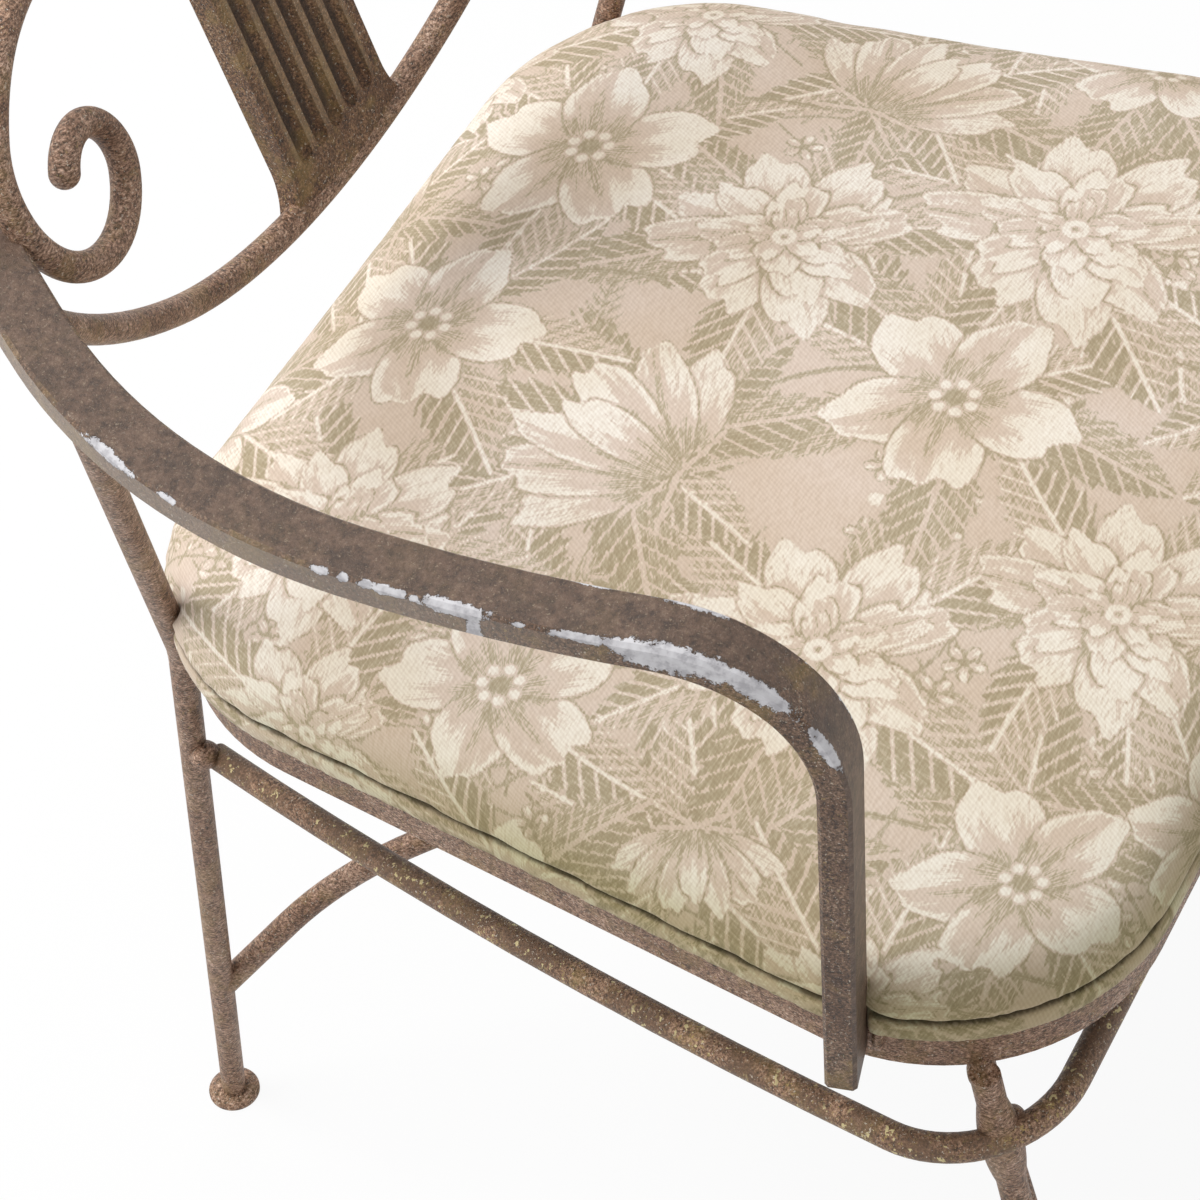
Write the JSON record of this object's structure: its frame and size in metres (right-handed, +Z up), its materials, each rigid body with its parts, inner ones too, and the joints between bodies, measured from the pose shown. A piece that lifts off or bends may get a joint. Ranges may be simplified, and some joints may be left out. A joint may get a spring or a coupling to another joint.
{
  "type": "garden armchair",
  "caption": "Painted wrought metal garden armchair with a horseshoe arm rail, scrolled back, reeded splat, bowed lower rail, arched cross stretcher and upholstered slip seat.",
  "frame": {"origin": "on the ground in the middle of the footprint box", "axes": "+Z up, the sitter faces -Y, +X to the right when looking along +Y"},
  "size_m": [0.6366, 0.6176, 0.865],
  "materials": {
    "bronze_paint": "textured brown paint with worn gold flecks and chips",
    "screw_steel": "zinc plated",
    "plywood": "raw plywood",
    "damask": "woven floral damask",
    "damask_band": "woven floral damask",
    "cover_cloth": "thin black cloth"
  },
  "bodies": {
    "root": {"seat_ring": "bronze_paint", "apron_hoop": "bronze_paint", "front_leg_left": "bronze_paint", "front_leg_right": "bronze_paint", "rear_leg_left": "bronze_paint", "rear_leg_right": "bronze_paint", "arm_rail_left": "bronze_paint", "arm_rail_right": "bronze_paint", "crest_rail": "bronze_paint", "lower_back_rail": "bronze_paint", "back_splat": "bronze_paint", "scroll_left": "bronze_paint", "scroll_right": "bronze_paint", "stretcher_long": "bronze_paint", "stretcher_half_front": "bronze_paint", "stretcher_half_rear": "bronze_paint", "screw_tabs": "bronze_paint", "foot_front_left": "bronze_paint", "foot_front_right": "bronze_paint", "foot_rear_left": "bronze_paint", "foot_rear_right": "bronze_paint", "seat_screws": "screw_steel", "seat_board": "plywood", "seat_cushion": "damask", "cushion_border": "damask_band", "dust_cover": "cover_cloth"}
  },
  "joints": []
}
